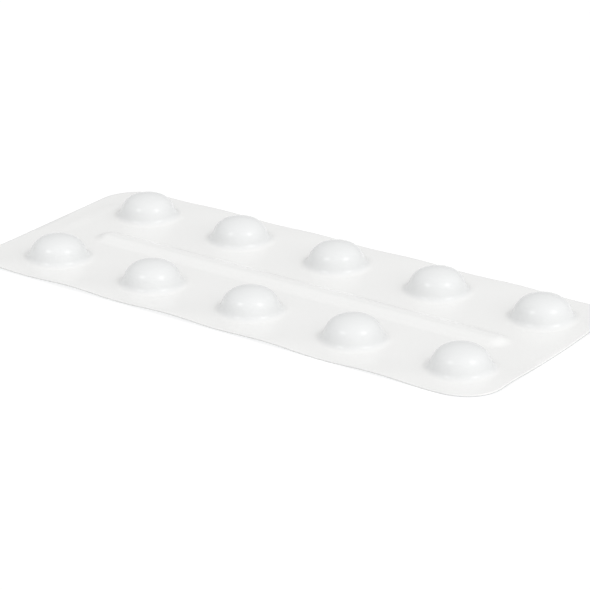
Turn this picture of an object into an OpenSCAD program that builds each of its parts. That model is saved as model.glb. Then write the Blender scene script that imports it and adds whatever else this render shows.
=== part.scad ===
// Blister pack of tablets, sealed and opaque, as one solid.
// A formed plastic film with two rows of domed pockets is closed underneath by a flat lidding foil.
// The rows run along X, the foil face lies on Z = 0 and the pockets stand up along +Z.
// The origin is the middle of the foil face. Sizes are in millimetres.

/* [Web] */
// Thickness of the forming film
film_thickness = 0.25; // [0.15:0.01:0.5]
// Thickness of the lidding foil
foil_thickness = 0.03; // [0.02:0.005:0.1]
// Radius of the punched corners
corner_radius = 6.5; // [2:0.5:7]
// Web from a row's pocket centres out to the long edge
side_margin = 8.9; // [7.5:0.1:14]
// Web beyond the last pocket centres, at the plain end
plain_end_margin = 8.7; // [7.5:0.1:14]
// Web beyond the first pocket centres, at the end kept for a batch code
code_end_margin = 11.3; // [8:0.1:16]

/* [Pockets] */
// Pockets in each row
pockets_per_row = 5; // [2:1:8]
// Distance between pockets along a row
pocket_pitch = 19; // [13:0.5:24]
// Distance between the two rows
row_pitch = 23.2; // [18:0.1:30]
// Height of a pocket above the film
pocket_height = 3.8; // [3.6:0.1:4.2]
// Radius of a pocket where its wall has run out into the film
mouth_radius = 5.9; // [5.6:0.05:6.1]
// Radius of the arc over a pocket's crown
crown_radius = 7; // [6.5:0.1:8.5]
// Radius of the arc from the crown round to the wall
shoulder_radius = 3.2; // [2.6:0.1:3.4]
// Angle between a pocket's wall and the film, in degrees
wall_angle = 69; // [66:1:72]
// Radius of the blend between a pocket's wall and the film
foot_radius = 1.4; // [0.8:0.05:1.5]

/* [Stiffening bead] */
// Width of the bead between the rows, where it meets the film
bead_width = 6; // [4:0.1:7]
// Width of the bead's level crest
bead_crest_width = 0.8; // [0.4:0.1:2]
// Height of the bead above the film
bead_height = 0.7; // [0.3:0.05:1]
// Run of the bead past the first and last pocket centres
bead_overrun = 1.5; // [0:0.1:4]

/* [Hidden] */
$fn = 96;

web_thickness = film_thickness + foil_thickness;
pocket_run = (pockets_per_row - 1) * pocket_pitch;
pack_length = code_end_margin + pocket_run + plain_end_margin;
pack_width = row_pitch + 2 * side_margin;
first_pocket_x = code_end_margin - pack_length / 2;

// The shoulder's arc touches both the wall's line and the crown's arc, which fixes where it meets
// each: wall_foot and wall_head are the ends of the straight wall, as radius and height.
wall_outward = [sin(wall_angle), cos(wall_angle)];
wall_foot = [mouth_radius - foot_radius * sin(wall_angle), foot_radius * (1 - cos(wall_angle))];
crown_centre_z = pocket_height - crown_radius;
arc_centre_gap = crown_radius - shoulder_radius;
wall_offset = wall_foot * wall_outward - shoulder_radius - crown_centre_z * cos(wall_angle);
meet_angle = wall_angle - acos(wall_offset / arc_centre_gap);
shoulder_centre = [0, crown_centre_z] + arc_centre_gap * [sin(meet_angle), cos(meet_angle)];
wall_head = shoulder_centre + shoulder_radius * wall_outward;

// The bead's side is an S of two equal arcs, level at the crest and at the film.
bead_side_run = (bead_width - bead_crest_width) / 2;
bead_arc_radius = (pow(bead_side_run, 2) + pow(bead_height, 2)) / (4 * bead_height);
bead_straight = pocket_run + 2 * bead_overrun - bead_width;

// Outline of the punched pack
module web_outline() {
    square([pack_length - 2 * corner_radius, pack_width], center = true);
    square([pack_length, pack_width - 2 * corner_radius], center = true);
    for (x = [-1, 1], y = [-1, 1])
        translate([x * (pack_length / 2 - corner_radius), y * (pack_width / 2 - corner_radius)])
            circle(corner_radius);
}

// Half section of a pocket, from its axis outwards, standing on the film's top face
module pocket_section() {
    intersection() {
        translate([0, crown_centre_z]) circle(crown_radius);
        square([crown_radius * sin(meet_angle), pocket_height]);
    }
    intersection() {
        translate(shoulder_centre) circle(shoulder_radius);
        square([mouth_radius, pocket_height]);
    }
    difference() {
        polygon([[0, 0], [mouth_radius, 0], [mouth_radius, wall_foot.y], wall_foot, wall_head, [0, wall_head.y]]);
        translate([mouth_radius, foot_radius]) circle(foot_radius);
    }
}

// Half section of the bead, from its middle outwards, standing on the film's top face
module bead_section() {
    square([bead_crest_width / 2, bead_height]);
    intersection() {
        translate([bead_crest_width / 2, bead_height - bead_arc_radius]) circle(bead_arc_radius);
        translate([bead_crest_width / 2, bead_height / 2]) square([bead_side_run / 2, bead_height / 2]);
    }
    difference() {
        translate([bead_crest_width / 2, 0]) square([bead_side_run, bead_height / 2]);
        translate([bead_width / 2, bead_arc_radius]) circle(bead_arc_radius);
    }
}

// A formed shape sits on the film's top face and is rooted down to the foil face
module pocket() {
    translate([0, 0, web_thickness]) rotate_extrude() pocket_section();
    cylinder(r = mouth_radius, h = web_thickness);
}

module bead() {
    translate([0, 0, web_thickness]) {
        for (side = [0, 1])
            mirror([0, side, 0])
                rotate([90, 0, 90])
                    linear_extrude(bead_straight, center = true) bead_section();
        for (end = [-1, 1])
            translate([end * bead_straight / 2, 0, 0]) rotate_extrude() bead_section();
    }
}

module blister_pack() {
    color("whitesmoke") union() {
        linear_extrude(web_thickness) web_outline();
        for (column = [0 : pockets_per_row - 1], row = [-1, 1])
            translate([first_pocket_x + column * pocket_pitch, row * row_pitch / 2, 0]) pocket();
        translate([first_pocket_x + pocket_run / 2, 0, 0]) bead();
    }
}

blister_pack();
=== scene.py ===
import math

import bpy
import numpy as np
from mathutils import Matrix, Vector


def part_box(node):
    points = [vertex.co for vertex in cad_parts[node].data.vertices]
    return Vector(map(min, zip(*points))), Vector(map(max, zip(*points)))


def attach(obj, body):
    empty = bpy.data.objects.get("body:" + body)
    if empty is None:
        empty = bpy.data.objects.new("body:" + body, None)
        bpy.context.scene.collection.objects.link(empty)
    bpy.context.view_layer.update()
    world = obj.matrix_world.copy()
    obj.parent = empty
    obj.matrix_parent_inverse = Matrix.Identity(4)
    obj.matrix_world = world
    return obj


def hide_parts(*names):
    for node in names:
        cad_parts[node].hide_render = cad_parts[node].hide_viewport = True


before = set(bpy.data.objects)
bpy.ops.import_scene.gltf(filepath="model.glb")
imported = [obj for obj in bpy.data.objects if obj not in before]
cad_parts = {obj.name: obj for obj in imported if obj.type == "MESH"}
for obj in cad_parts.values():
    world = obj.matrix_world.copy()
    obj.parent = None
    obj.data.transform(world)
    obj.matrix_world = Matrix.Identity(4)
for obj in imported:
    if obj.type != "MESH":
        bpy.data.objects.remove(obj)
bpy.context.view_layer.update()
print("frame loaded")

mm = 0.001  # every length below is in millimetres, and meshes are written in metres

packLow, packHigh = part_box("blister_pack")
packLength = (packHigh.x - packLow.x) / mm
packWidth = (packHigh.y - packLow.y) / mm
packHeight = (packHigh.z - packLow.z) / mm

# The same driving sizes as the construction
pack = {
    "pocketsPerRow": 5,
    "pitch": 19.0,
    "rowPitch": 23.2,
    "codeEndMargin": 11.3,
    "filmThickness": 0.25,
    "foilThickness": 0.03,
    "cornerRadius": 6.5,
    "crownRadius": 7.0,
    "shoulderRadius": 3.2,
    "wallAngle": 69.0,
    "mouthRadius": 5.9,
    "footRadius": 1.4,
    "beadWidth": 6.0,
    "beadCrest": 0.8,
    "beadHeight": 0.7,
    "beadOverrun": 1.5,
}
filmTop = pack["filmThickness"] + pack["foilThickness"]
pocketX = pack["codeEndMargin"] - packLength / 2 + pack["pitch"] * np.arange(pack["pocketsPerRow"])
pocketHeight = packHeight - filmTop
rowY = pack["rowPitch"] / 2
beadMiddleX = (pocketX[0] + pocketX[-1]) / 2
beadHalfSpine = (pocketX[-1] - pocketX[0]) / 2 + pack["beadOverrun"] - pack["beadWidth"] / 2


# Smooth step: 0 below the first edge, 1 above the second, 3t^2 - 2t^3 between
def easeStep(low, high, value):
    t = np.clip((value - low) / (high - low), 0, 1)
    return t * t * (3 - 2 * t)


# Half section of a pocket: out along the crown's arc, round the shoulder's arc, down the straight
# wall and out along the foot's arc, each tangent to the next. Steps are even in angle.
# Returns the radius, the height above the film and the share of the film's greyer tone, which is
# partly the film drawn thinner and partly painted shade on the pocket: all of it from the crown down
# to the wall's foot, then less along the foot's arc.
def pocketProfile(height, crownSteps, wallSteps, footSteps):
    crown, shoulder, foot = pack["crownRadius"], pack["shoulderRadius"], pack["footRadius"]
    wall = math.radians(pack["wallAngle"])
    footStart = np.array([pack["mouthRadius"] - foot * math.sin(wall), foot * (1 - math.cos(wall))])
    outward = np.array([math.sin(wall), math.cos(wall)])
    reach = footStart @ outward - shoulder - (height - crown) * math.cos(wall)
    meet = wall - math.acos(reach / (crown - shoulder))
    gap = crown - shoulder  # between the centres of the two arcs
    centre = np.array([gap * math.sin(meet), height - crown + gap * math.cos(meet)])
    wallTop = centre + shoulder * outward
    over = np.linspace(0, meet, crownSteps // 2 + 1)
    turn = np.linspace(meet, wall, crownSteps - crownSteps // 2 + 1)[1:]
    drop = np.linspace(0, 1, wallSteps + 1)[1:]
    flare = np.linspace(wall, 0, footSteps + 1)[1:]
    radius = np.concatenate([crown * np.sin(over), centre[0] + shoulder * np.sin(turn),
                             wallTop[0] + (footStart[0] - wallTop[0]) * drop,
                             pack["mouthRadius"] - foot * np.sin(flare)])
    rise = np.concatenate([height - crown + crown * np.cos(over), centre[1] + shoulder * np.cos(turn),
                           wallTop[1] + (footStart[1] - wallTop[1]) * drop,
                           foot * (1 - np.cos(flare))])
    # The greyer tone, partly thinner film and partly painted shade, fades out along the foot's arc
    thinnedShade = easeStep(*film["thinShadeFade"], flare / wall)
    drawnShade = np.concatenate([np.ones(len(over) + len(turn) + wallSteps), thinnedShade])
    return radius, rise, drawnShade


# Bead: the distance from its spine, a straight segment, goes through an S of two equal arcs that is
# level at the crest and at the film
def beadRise(x, y):
    along = np.maximum(np.abs(x - beadMiddleX) - beadHalfSpine, 0)
    out = np.hypot(along, y)
    crestEdge = pack["beadCrest"] / 2
    run = pack["beadWidth"] / 2 - crestEdge
    height = pack["beadHeight"]
    arc = (run ** 2 + height ** 2) / (4 * height)
    upper = height - arc + np.sqrt(np.maximum(arc ** 2 - np.clip(out - crestEdge, 0, run / 2) ** 2, 0))
    lower = arc - np.sqrt(np.maximum(arc ** 2 - np.clip(crestEdge + run - out, 0, run / 2) ** 2, 0))
    return np.where(out < crestEdge + run / 2, upper, lower)


# Warp left by the sealing
warp = {
    "frontWave": 0.3,  # lift of the front edge between pockets
    "backWave": 0.2,
    "edgeFrom": 12.5,  # distance from the middle line at which the waves begin
    "endFade": 7.0,  # run over which the waves die out towards the ends
    "frontLift": 0.2,  # lift of the front edge over its left two thirds
    "frontLiftX": (18.0, 2.0),  # it grows between these places along the pack
    "frontLiftFrom": -9.0,
    "endLift": 0.3,  # lift of the plain end in line with each row
    "endReach": 8.0,
    "endSpread": 5.0,
    "ridgeHeight": 0.12,  # shallow ridge across the code end
    "ridgeX": -44.5,
    "ridgeSpread": 0.9,
    "ridgeStart": (-3.0, 2.0),  # it rises between these places across the pack
    "ridgeStop": (14.0, 10.0),
}


# Lift of the sheet: a cosine wave along both long edges, highest midway between pockets, a smooth
# step for the front edge, a smooth step times a bell on each row for the plain end, and a bell
# across X for the ridge
def sheetWarp(x, y):
    half, edge = packLength / 2, packWidth / 2
    wave = 0.5 - 0.5 * np.cos(2 * np.pi * (x - pocketX[0]) / pack["pitch"])
    nearEdge = easeStep(warp["edgeFrom"], edge, np.abs(y)) ** 1.5
    inside = easeStep(half, half - warp["endFade"], np.abs(x))
    height = np.where(y < 0, warp["frontWave"], warp["backWave"])
    leftward = easeStep(*warp["frontLiftX"], x) * easeStep(warp["frontLiftFrom"], -edge, y)
    onRow = np.exp(-((np.abs(y) - rowY) / warp["endSpread"]) ** 2)
    rowEnd = easeStep(half - warp["endReach"], half, x) * onRow
    ridge = (np.exp(-((x - warp["ridgeX"]) / warp["ridgeSpread"]) ** 2)
             * easeStep(*warp["ridgeStart"], y) * easeStep(*warp["ridgeStop"], y))
    return (height * wave * nearEdge * inside + warp["frontLift"] * leftward
            + warp["endLift"] * rowEnd + warp["ridgeHeight"] * ridge)


# Spreads ticks from a to b, closer together around each focus: equal steps of the running sum of a
# density that is 1 plus a bell at every focus
def spreadTicks(a, b, count, focus=(), gain=3.0, reach=2.0):
    fine = np.linspace(a, b, 2001)
    density = np.ones_like(fine)
    for f in focus:
        density += gain * np.exp(-((fine - f) / reach) ** 2)
    total = np.concatenate([[0], np.cumsum((density[1:] + density[:-1]) / 2)])
    return np.interp(np.linspace(0, total[-1], count + 1), total, fine)


# Points at equal steps along a path of straight pieces
def pathPoints(path, count):
    step = np.hypot(*np.diff(path, axis=0).T)
    total = np.concatenate([[0], np.cumsum(step)])
    even = np.linspace(0, total[-1], count + 1)
    return np.stack([np.interp(even, total, path[:, 0]), np.interp(even, total, path[:, 1])], 1)


# Half of a rounded corner, as points: the centre plus the radius times the cosine and the sine of
# each angle over an eighth of a turn
def cornerArc(centreX, centreY, fromAngle, steps):
    turn = fromAngle + np.linspace(0, np.pi / 4, steps + 1)
    radius = pack["cornerRadius"]
    return np.stack([centreX + radius * np.cos(turn), centreY + radius * np.sin(turn)], 1)


# Boundary of one pocket's cell, counter-clockwise from the corner nearest the bead's left: the side
# along the bead, the right side, the outer side and the left side. An end cell has a rounded corner,
# which its outer side and its end side share at the middle of the arc.
def cellBoundary(left, right, bead, sideTicks, beadTicks):
    halfWidth = packWidth / 2
    corner, arcSteps = pack["cornerRadius"], 24
    atLeft = left < -packLength / 2 + 0.01
    atRight = right > packLength / 2 - 0.01
    arcY = halfWidth - corner
    rightSide = [(right, bead), (right, halfWidth)]
    outerSide = [(right, halfWidth), (left, halfWidth)]
    leftSide = [(left, halfWidth), (left, bead)]
    if atRight:
        arc = cornerArc(right - corner, arcY, 0, arcSteps)
        rest = cornerArc(right - corner, arcY, np.pi / 4, arcSteps)
        rightSide = [(right, bead), *arc]
        outerSide = [*rest, (left, halfWidth)]
    if atLeft:
        arc = cornerArc(left + corner, arcY, np.pi / 2, arcSteps)
        rest = cornerArc(left + corner, arcY, 3 * np.pi / 4, arcSteps)
        outerSide = [*outerSide[:-1], *arc]
        leftSide = [*rest, (left, bead)]
    alongBead = np.stack([beadTicks, np.full(len(beadTicks), bead)], 1)
    others = [pathPoints(np.array(side, float), sideTicks) for side in (rightSide, outerSide, leftSide)]
    return np.concatenate([side[:-1] for side in (alongBead, *others)])


# Quads of a grid of rows by columns of points, wrapped round in the columns if closed
def gridQuads(rows, columns, closed):
    index = np.arange(rows * columns).reshape(rows, columns)
    after = np.roll(index, -1, axis=1) if closed else index[:, 1:]
    here = index if closed else index[:, :-1]
    return np.stack([here[:-1], here[1:], after[1:], after[:-1]], -1).reshape(-1, 4)


# How the grids are laid out: the strip with the bead reaches past its sides, and steps are closer
# together beyond the bead's tips and at both ends of the web between a pocket and its boundary
layout = {
    "stripMargin": 1.0,
    "tipReach": 1.2,
    "webFocus": (0.0, 1.0),
    "webGain": 2.0,
    "webReach": 0.2,
}


# The whole sheet, seen from above: a polar grid round each pocket, whose rings go from the crown to
# the mouth and then spread to the cell's boundary, and a plain grid for the strip with the bead.
# Returns points (x, y, rise above the sheet), the share of the film's greyer tone (thinner drawn film
# and painted shade on the pockets), and faces.
def packSheet(detail, raised):
    bead = pack["beadWidth"] / 2 + layout["stripMargin"]
    half = packLength / 2
    cuts = np.concatenate([[-half], (pocketX[1:] + pocketX[:-1]) / 2, [half]])
    tipRun = beadHalfSpine + layout["tipReach"]
    tips = (beadMiddleX - tipRun, beadMiddleX + tipRun)
    points, drawnShade, quads, fans = [], [], [], []
    start = 0
    ticks = []
    for cell in range(pack["pocketsPerRow"]):
        focus = [t for t in tips if cuts[cell] < t < cuts[cell + 1]]
        ticks.append(spreadTicks(cuts[cell], cuts[cell + 1], detail["spokes"] // 4, focus))
    radius, rise, pullShade = pocketProfile(pocketHeight, detail["crown"], detail["wall"], detail["foot"])
    angle = -0.75 * np.pi + 2 * np.pi * np.arange(detail["spokes"]) / detail["spokes"]
    ray = np.stack([np.cos(angle), np.sin(angle)], 1)
    web = spreadTicks(0, 1, detail["flange"], layout["webFocus"], layout["webGain"], layout["webReach"])
    spread = web[1:, None, None]
    for cell, centre in enumerate(pocketX):
        edge = cellBoundary(cuts[cell], cuts[cell + 1], bead, detail["spokes"] // 4, ticks[cell])
        for side in (1, -1):
            middle = np.array([centre, rowY])
            dome = middle + radius[1:, None, None] * ray
            flange = dome[-1] * (1 - spread) + edge * spread
            plan = np.concatenate([dome, flange])
            height = np.concatenate([rise[1:] * raised, np.zeros(detail["flange"])])
            ringPullShade = np.concatenate([pullShade[1:], np.zeros(detail["flange"])])
            rings = len(plan)
            lifted = np.broadcast_to(height[:, None, None], (rings, len(edge), 1))
            flat = np.concatenate([plan, lifted], 2).reshape(-1, 3) * np.array([1, side, 1])
            face = gridQuads(rings, len(edge), True) + start
            rim = np.arange(len(edge))
            fan = np.stack([np.full(len(edge), len(flat)), rim, np.roll(rim, -1)], 1) + start
            points.append(np.concatenate([flat, [[centre, side * rowY, rise[0] * raised]]]))
            drawnShade.append(np.concatenate([np.repeat(ringPullShade, len(edge)), [pullShade[0]]]))
            quads.append(face[:, ::side])
            fans.append(fan[:, ::side])
            start += len(flat) + 1
    acrossHalf = np.concatenate([
        np.linspace(0, pack["beadCrest"] / 2, detail["crest"] + 1)[:-1],
        np.linspace(pack["beadCrest"] / 2, pack["beadWidth"] / 2, detail["beadSide"] + 1)[:-1],
        np.linspace(pack["beadWidth"] / 2, bead, detail["beadFlange"] + 1),
    ])
    across = np.concatenate([-acrossHalf[:0:-1], acrossHalf])
    along = np.concatenate([t[:-1] for t in ticks[:-1]] + [ticks[-1]])
    x, y = np.meshgrid(along, across, indexing="ij")
    z = beadRise(x, y) * raised
    points.append(np.stack([x, y, z], -1).reshape(-1, 3))
    drawnShade.append(np.zeros(x.size))
    quads.append(gridQuads(len(along), len(across), False) + start)
    points, drawnShade = np.concatenate(points), np.concatenate(drawnShade)
    quads, fans = np.concatenate(quads), np.concatenate(fans)
    # Points that two neighbouring grids share become one, at a ten-thousandth of a millimetre
    key = np.round(points * 1e4).astype(np.int64)
    _, first, merged = np.unique(key, axis=0, return_index=True, return_inverse=True)
    merged = merged.reshape(-1)
    return points[first], drawnShade[first], merged[quads], merged[fans]


# A mesh object from points in millimetres, with values for its points as named attributes
def newPiece(name, points, faces, material, attributes):
    mesh = bpy.data.meshes.new(name)
    mesh.from_pydata((points * mm).tolist(), [], faces)
    for label, values in attributes.items():
        layer = mesh.attributes.new(label, "FLOAT", "POINT")
        layer.data.foreach_set("value", values.astype(np.float32))
    mesh.materials.append(material)
    mesh.shade_smooth()
    piece = bpy.data.objects.new(name, mesh)
    bpy.context.scene.collection.objects.link(piece)
    return piece


# Gives a sheet its wall, downwards from the face it was made as, and rounds its punched edge
def thicken(piece, thickness, edgeRound):
    wall = piece.modifiers.new("wall", "SOLIDIFY")
    wall.thickness = thickness * mm
    wall.offset = -1
    wall.use_even_offset = True
    if edgeRound:
        bevel = piece.modifiers.new("punchedEdge", "BEVEL")
        bevel.width = edgeRound * mm
        bevel.segments = 2
        bevel.limit_method = "ANGLE"
        bevel.angle_limit = math.radians(50)  # wider than any fold between two faces of a pocket
        piece.modifiers.new("flatFaces", "WEIGHTED_NORMAL")


# An sRGB hex colour as the linear red, green, blue and alpha that the nodes take
def hexColour(code):
    channel = np.array([int(code[start:start + 2], 16) / 255 for start in (1, 3, 5)])
    linear = np.where(channel <= 0.04045, channel / 12.92, ((channel + 0.055) / 1.055) ** 2.4)
    return (*linear.tolist(), 1.0)


# Adds a node, sets its properties and input values, and links inputs to other nodes' outputs
def addNode(tree, kind, properties=None, values=None, links=None):
    node = tree.nodes.new(kind)
    for name, value in (properties or {}).items():
        setattr(node, name, value)
    for socket, value in (values or {}).items():
        node.inputs[socket].default_value = value
    for socket, source in (links or {}).items():
        tree.links.new(source, node.inputs[socket])
    return node


def newMaterial(name):
    material = bpy.data.materials.new(name)
    material.use_nodes = True
    material.node_tree.nodes.clear()
    return material, material.node_tree


film = {
    "colour": "#F1F1F0",
    # The greyer tone is partly the film drawn thinner over the pockets and partly painted shade that
    # darkens the pockets against the web and their foot
    "thinShadeColour": "#E7E8E8",
    "thinShadeFade": (0.1, 0.85),  # shares of the foot's arc over which the greyer tone (thinner film and painted shade) fades to full
    "roughness": 0.25,
    "ior": 1.53,
    "edgeRound": 0.05,
    "detail": {"spokes": 128, "crown": 14, "wall": 1, "foot": 8, "flange": 8,
               "crest": 2, "beadSide": 18, "beadFlange": 3},
}


# White rigid PVC, 0.25 mm, thermoformed: opaque, with a satin gloss from the calendered sheet. Where
# it was drawn over the pockets it is thinner and a touch greyer, and that grey is also painted shade
# that keeps the pockets darker than the web and their foot.
def filmMaterial():
    material, tree = newMaterial("whiteThermoformedPvc")
    thinnedShade = addNode(tree, "ShaderNodeAttribute", {"attribute_name": "drawnShade"}).outputs["Fac"]
    colours = {"A": hexColour(film["colour"]), "B": hexColour(film["thinShadeColour"])}
    # Painted shade mixed with the thinner film's real grey: the pockets take the greyer tone
    tone = addNode(tree, "ShaderNodeMix", {"data_type": "RGBA"}, colours, {"Factor": thinnedShade})
    shader = addNode(tree, "ShaderNodeBsdfPrincipled", None,
                     {"Roughness": film["roughness"], "IOR": film["ior"]},
                     {"Base Color": tone.outputs["Result"]})
    addNode(tree, "ShaderNodeOutputMaterial", None, None, {"Surface": shader.outputs["BSDF"]})
    return material


foil = {
    "colour": "#C9CBCD",
    "roughness": 0.3,
    "knurlPitch": 0.9,
    "knurlDepth": 0.05,
    "crinkleSize": 2.5,
    "crinkleShare": 0.25,
    "sealGap": 0.6,  # run over which the knurl fades inside a pocket's mouth
    "detail": {"spokes": 64, "crown": 3, "wall": 1, "foot": 3, "flange": 5,
               "crest": 1, "beadSide": 2, "beadFlange": 1},
}


# Hard lidding aluminium, 0.03 mm with its lacquer: dull silver, pressed into small diamonds by the
# knurled sealing plate wherever it is sealed to the film, and smooth under the pockets.
def foilMaterial():
    material, tree = newMaterial("hardLiddingAluminium")
    place = addNode(tree, "ShaderNodeTexCoord").outputs["Object"]
    sealed = addNode(tree, "ShaderNodeAttribute", {"attribute_name": "sealed"}).outputs["Fac"]
    split = addNode(tree, "ShaderNodeSeparateXYZ", None, None, {"Vector": place})
    waves = []
    for operation in ("ADD", "SUBTRACT"):
        diagonal = addNode(tree, "ShaderNodeMath", {"operation": operation}, None,
                           {0: split.outputs["X"], 1: split.outputs["Y"]})
        phase = addNode(tree, "ShaderNodeMath", {"operation": "MULTIPLY"},
                        {1: math.pi / (foil["knurlPitch"] * mm)}, {0: diagonal.outputs[0]})
        wave = addNode(tree, "ShaderNodeMath", {"operation": "SINE"}, None, {0: phase.outputs[0]})
        folded = addNode(tree, "ShaderNodeMath", {"operation": "ABSOLUTE"}, None, {0: wave.outputs[0]})
        waves.append(folded.outputs[0])
    diamond = addNode(tree, "ShaderNodeMath", {"operation": "MINIMUM"}, None, {0: waves[0], 1: waves[1]})
    pressed = addNode(tree, "ShaderNodeMath", {"operation": "MULTIPLY"}, None,
                      {0: diamond.outputs[0], 1: sealed})
    crinkle = addNode(tree, "ShaderNodeTexNoise", None,
                      {"Scale": 1 / (foil["crinkleSize"] * mm), "Detail": 3.0}, {"Vector": place})
    height = addNode(tree, "ShaderNodeMath", {"operation": "MULTIPLY_ADD"}, {1: foil["crinkleShare"]},
                     {0: crinkle.outputs["Fac"], 2: pressed.outputs[0]})
    relief = addNode(tree, "ShaderNodeBump", None, {"Strength": 1.0, "Distance": foil["knurlDepth"] * mm},
                     {"Height": height.outputs[0]})
    finish = {"Base Color": hexColour(foil["colour"]), "Metallic": 1.0, "Roughness": foil["roughness"]}
    shader = addNode(tree, "ShaderNodeBsdfPrincipled", None, finish,
                     {"Normal": relief.outputs["Normal"]})
    addNode(tree, "ShaderNodeOutputMaterial", None, None, {"Surface": shader.outputs["BSDF"]})
    return material


# The film is made as its top face
def makeFilm():
    points, drawnShade, quads, fans = packSheet(film["detail"], 1.0)
    points[:, 2] += filmTop + sheetWarp(points[:, 0], points[:, 1])
    faces = quads.tolist() + fans.tolist()
    piece = newPiece("formed_film", points, faces, filmMaterial(), {"drawnShade": drawnShade})
    thicken(piece, pack["filmThickness"], film["edgeRound"])
    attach(piece, "root")
    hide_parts("blister_pack")


# The foil is the same sheet with nothing raised, and is sealed everywhere but under the pockets
def makeFoil():
    points, _, quads, fans = packSheet(foil["detail"], 0.0)
    mouth = pack["mouthRadius"]
    away = np.min(np.hypot(points[:, 0, None] - pocketX, np.abs(points[:, 1, None]) - rowY), axis=1)
    sealed = easeStep(mouth - foil["sealGap"], mouth, away)
    points[:, 2] += pack["foilThickness"] + sheetWarp(points[:, 0], points[:, 1])
    faces = quads.tolist() + fans.tolist()
    piece = newPiece("lidding_foil", points, faces, foilMaterial(), {"sealed": sealed})
    thicken(piece, pack["foilThickness"], 0)
    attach(piece, "root")


makeFilm()
print("formed film made")
makeFoil()
print("lidding foil made")


# The photo's camera. Its place and lens are in millimetres, its turn in degrees.
view = {
    "azimuth": 35.26,
    "elevation": 22.35,
    "distance": 452.0,
    "right": 1.15,
    "up": -1.28,
    "focal": 176.45,
    "sensor": 36.0,
}


# Unit vectors to the camera's right, up and back
def cameraAxes(azimuth, elevation):
    a, e = math.radians(azimuth), math.radians(elevation)
    right = np.array([math.cos(a), math.sin(a), 0])
    up = np.array([-math.sin(a) * math.sin(e), math.cos(a) * math.sin(e), math.cos(e)])
    back = np.array([math.sin(a) * math.cos(e), -math.cos(a) * math.cos(e), math.sin(e)])
    return right, up, back


def makeCamera():
    right, up, back = cameraAxes(view["azimuth"], view["elevation"])
    lens = bpy.data.cameras.new("photoLens")
    lens.lens = view["focal"]
    lens.sensor_width = view["sensor"]
    lens.clip_start = 0.01
    lens.clip_end = 20
    camera = bpy.data.objects.new("photoCamera", lens)
    bpy.context.scene.collection.objects.link(camera)
    position = (back * view["distance"] + right * view["right"] + up * view["up"]) * mm
    camera.matrix_world = Matrix([
        [right[0], up[0], back[0], position[0]],
        [right[1], up[1], back[1], position[1]],
        [right[2], up[2], back[2], position[2]],
        [0, 0, 0, 1],
    ])
    bpy.context.scene.camera = camera
    return right, up, back


viewRight, viewUp, viewBack = makeCamera()

# Directions are shares of right, up and back towards the camera, distances and sizes are in metres,
# and a level of 1 is white
light = {
    "key": {"toward": (0.55, 0.555, 0.625), "distance": 0.7, "size": 0.18, "radiance": 4.5},
    "side": {"toward": (-0.555, 0.57, 0.605), "distance": 0.7, "size": 0.15, "radiance": 5.2},
    "tentAxis": (0.43, 0.45, 0.78),
    "tentLow": 0.585,
    "tentHigh": 1.35,
    "tentPower": 3.9,
}


# A square soft box: its power is pi times its area times the radiance that it shows
def makeLamp(name, settings):
    toward = np.array(settings["toward"]) / np.linalg.norm(settings["toward"])
    direction = Vector(toward[0] * viewRight + toward[1] * viewUp + toward[2] * viewBack)
    lamp = bpy.data.lights.new(name, "AREA")
    lamp.shape = "SQUARE"
    lamp.size = settings["size"]
    lamp.energy = math.pi * settings["size"] ** 2 * settings["radiance"]
    item = bpy.data.objects.new(name, lamp)
    bpy.context.scene.collection.objects.link(item)
    item.location = direction * settings["distance"]
    item.rotation_mode = "QUATERNION"
    item.rotation_quaternion = direction.to_track_quat("Z", "Y")


makeLamp("keyBox", light["key"])
makeLamp("sideBox", light["side"])


# 1 for any of the named kinds of ray, which then see the plain background
def seenBy(tree, *kinds):
    path = addNode(tree, "ShaderNodeLightPath").outputs
    seen = path[kinds[0]]
    for kind in kinds[1:]:
        either = addNode(tree, "ShaderNodeMath", {"operation": "MAXIMUM"}, None,
                         {0: seen, 1: path[kind]})
        seen = either.outputs[0]
    return seen


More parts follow.
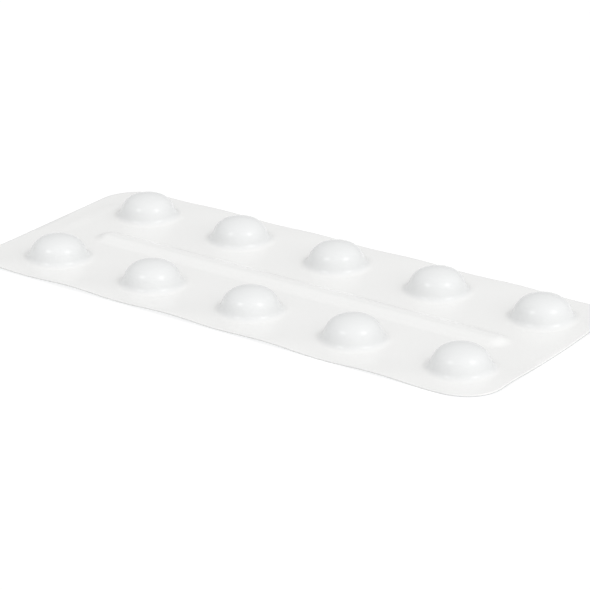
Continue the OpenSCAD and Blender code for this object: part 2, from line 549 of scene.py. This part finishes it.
# A white light tent, brightest round one axis: its level is low plus (high - low) times the power of
# half of one plus the cosine of the angle from the axis. The camera sees it as plain white. Glossy
# faces see the tent's own levels, because the web's satin sheen is a reflection of its darker side.
def makeTent():
    axis = np.array(light["tentAxis"]) / np.linalg.norm(light["tentAxis"])
    direction = axis[0] * viewRight + axis[1] * viewUp + axis[2] * viewBack
    world = bpy.data.worlds.new("lightTent")
    bpy.context.scene.world = world
    world.use_nodes = True
    tree = world.node_tree
    tree.nodes.clear()
    outward = addNode(tree, "ShaderNodeTexCoord").outputs["Generated"]
    cosine = addNode(tree, "ShaderNodeVectorMath", {"operation": "DOT_PRODUCT"},
                     {1: direction.tolist()}, {0: outward})
    share = addNode(tree, "ShaderNodeMath", {"operation": "MULTIPLY_ADD"}, {1: 0.5, 2: 0.5},
                    {0: cosine.outputs["Value"]})
    near = addNode(tree, "ShaderNodeMath", {"operation": "POWER"}, {1: light["tentPower"]},
                   {0: share.outputs[0]})
    level = addNode(tree, "ShaderNodeMapRange", None,
                    {"To Min": light["tentLow"], "To Max": light["tentHigh"]},
                    {"Value": near.outputs[0]})
    seen = seenBy(tree, "Is Camera Ray", "Is Transmission Ray")
    strength = addNode(tree, "ShaderNodeMix", {"data_type": "FLOAT"}, {"B": 1.0},
                       {"Factor": seen, "A": level.outputs["Result"]})
    glow = addNode(tree, "ShaderNodeBackground", None, {"Color": (1, 1, 1, 1)},
                   {"Strength": strength.outputs["Result"]})
    addNode(tree, "ShaderNodeOutputWorld", None, None, {"Surface": glow.outputs[0]})


makeTent()

floorLook = {"colour": "#F7F7F7", "share": 0.78, "glow": 1.06, "size": 3.0, "gap": 0.01}


# White paper sweep, just under the foil. Where it is seen, a share of its look is an even white and
# the rest is its shaded surface, so a light shadow of the pack stays. From below it is clear.
def makeFloor():
    half = floorLook["size"] / 2
    mesh = bpy.data.meshes.new("floor")
    corners = [(-half, -half), (half, -half), (half, half), (-half, half)]
    mesh.from_pydata([(x, y, -floorLook["gap"] * mm) for x, y in corners], [], [(0, 1, 2, 3)])
    material, tree = newMaterial("whitePaper")
    seen = seenBy(tree, "Is Camera Ray", "Is Transmission Ray", "Is Glossy Ray")
    paper = addNode(tree, "ShaderNodeBsdfDiffuse", None, {"Color": hexColour(floorLook["colour"])})
    share = addNode(tree, "ShaderNodeMath", {"operation": "MULTIPLY"}, {1: floorLook["share"]},
                    {0: seen})
    glow = addNode(tree, "ShaderNodeEmission", None,
                   {"Color": (1, 1, 1, 1), "Strength": floorLook["glow"]})
    both = addNode(tree, "ShaderNodeMixShader", None, None,
                   {"Fac": share.outputs[0], 1: paper.outputs[0], 2: glow.outputs[0]})
    facing = addNode(tree, "ShaderNodeNewGeometry")
    clear = addNode(tree, "ShaderNodeBsdfTransparent")
    side = addNode(tree, "ShaderNodeMixShader", None, None,
                   {"Fac": facing.outputs["Backfacing"], 1: both.outputs[0], 2: clear.outputs[0]})
    addNode(tree, "ShaderNodeOutputMaterial", None, None, {"Surface": side.outputs[0]})
    mesh.materials.append(material)
    floor = bpy.data.objects.new("floor", mesh)
    bpy.context.scene.collection.objects.link(floor)


makeFloor()
bpy.context.scene.view_settings.view_transform = "Standard"
print("stage, camera and light made")
